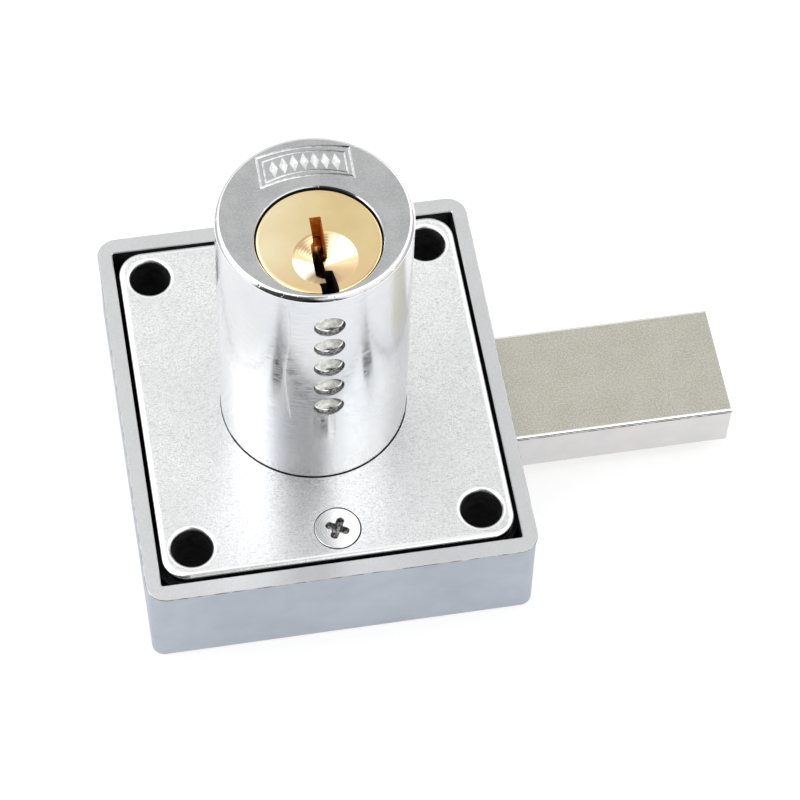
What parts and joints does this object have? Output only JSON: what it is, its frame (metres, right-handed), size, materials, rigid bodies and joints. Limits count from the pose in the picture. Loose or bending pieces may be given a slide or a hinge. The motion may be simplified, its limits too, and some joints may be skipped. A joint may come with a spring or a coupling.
{
  "type": "cabinet bolt lock",
  "caption": "Surface-mounted drawer or cabinet lock: a pin-tumbler cylinder in a round barrel on a flat box case, with a rectangular bolt that slides out of the side.",
  "frame": {"origin": "centre of the flat back of the case, midway between the four fixing holes", "axes": "+Z along the barrel to the key face, +X the way the bolt shoots, +Y the pin side of the cylinder"},
  "size_m": [0.074, 0.0512, 0.0514],
  "materials": {
    "case": "satin plated zinc die casting",
    "cover_plate": "fine straight brushed plating",
    "barrel": "bright plating on a turned and brushed body",
    "plug": "turned face",
    "bolt": "worn nickel plating",
    "zinc_screw": "bright zinc plating",
    "inner_steel": "pressed steel",
    "pins": "turned",
    "spring_wire": "drawn wire"
  },
  "bodies": {
    "case": {"case": "case", "cover_plate": "cover_plate", "cover_screw_front": "zinc_screw", "cover_screw_rear": "zinc_screw", "barrel": "barrel", "chamber_plug_1": "barrel", "chamber_plug_2": "barrel", "chamber_plug_3": "barrel", "chamber_plug_4": "barrel", "chamber_plug_5": "barrel", "pin_spring_1": "spring_wire", "pin_spring_2": "spring_wire", "pin_spring_3": "spring_wire", "pin_spring_4": "spring_wire", "pin_spring_5": "spring_wire"},
    "plug": {"plug": "plug", "crank_arm": "inner_steel", "crank_pin": "inner_steel", "arm_screw_1": "zinc_screw", "arm_screw_2": "zinc_screw"},
    "bolt": {"bolt": "bolt"},
    "key_pin_1": {"key_pin_1": "pins"},
    "key_pin_2": {"key_pin_2": "pins"},
    "key_pin_3": {"key_pin_3": "pins"},
    "key_pin_4": {"key_pin_4": "pins"},
    "key_pin_5": {"key_pin_5": "pins"},
    "driver_pin_1": {"driver_pin_1": "pins"},
    "driver_pin_2": {"driver_pin_2": "pins"},
    "driver_pin_3": {"driver_pin_3": "pins"},
    "driver_pin_4": {"driver_pin_4": "pins"},
    "driver_pin_5": {"driver_pin_5": "pins"}
  },
  "joints": [
    {"name": "bolt_slide", "type": "slide", "parent": "case", "child": "bolt", "axis": [1, 0, 0], "range_m": [-0.027, 0]},
    {"name": "plug_turn", "type": "hinge", "parent": "case", "child": "plug", "pos_m": [0, -0.00407, 0.0511], "axis": [0, 0, 1], "range_deg": [0, 180]},
    {"name": "key_pin_1_drop", "type": "slide", "parent": "plug", "child": "key_pin_1", "axis": [0, 1, 0], "range_m": [-0.00185, 0]},
    {"name": "key_pin_2_drop", "type": "slide", "parent": "plug", "child": "key_pin_2", "axis": [0, 1, 0], "range_m": [-0.00065, 0]},
    {"name": "key_pin_3_drop", "type": "slide", "parent": "plug", "child": "key_pin_3", "axis": [0, 1, 0], "range_m": [-0.00245, 0]},
    {"name": "key_pin_4_drop", "type": "slide", "parent": "plug", "child": "key_pin_4", "axis": [0, 1, 0], "range_m": [-0.00125, 0]},
    {"name": "key_pin_5_drop", "type": "slide", "parent": "plug", "child": "key_pin_5", "axis": [0, 1, 0], "range_m": [-0.00205, 0]},
    {"name": "driver_pin_1_lift", "type": "slide", "parent": "case", "child": "driver_pin_1", "axis": [0, 1, 0], "range_m": [0, 0.0012], "stiffness_N_per_m": 80, "springref_m": -0.0015, "deforming": ["pin_spring_1"]},
    {"name": "driver_pin_2_lift", "type": "slide", "parent": "case", "child": "driver_pin_2", "axis": [0, 1, 0], "range_m": [0, 0.0012], "stiffness_N_per_m": 80, "springref_m": -0.0015, "deforming": ["pin_spring_2"]},
    {"name": "driver_pin_3_lift", "type": "slide", "parent": "case", "child": "driver_pin_3", "axis": [0, 1, 0], "range_m": [0, 0.0012], "stiffness_N_per_m": 80, "springref_m": -0.0015, "deforming": ["pin_spring_3"]},
    {"name": "driver_pin_4_lift", "type": "slide", "parent": "case", "child": "driver_pin_4", "axis": [0, 1, 0], "range_m": [0, 0.0012], "stiffness_N_per_m": 80, "springref_m": -0.0015, "deforming": ["pin_spring_4"]},
    {"name": "driver_pin_5_lift", "type": "slide", "parent": "case", "child": "driver_pin_5", "axis": [0, 1, 0], "range_m": [0, 0.0012], "stiffness_N_per_m": 80, "springref_m": -0.0015, "deforming": ["pin_spring_5"]}
  ],
  "couplings": [
    {"joint": "plug_turn", "follows": "bolt_slide", "rad_per_m": -116.36}
  ]
}
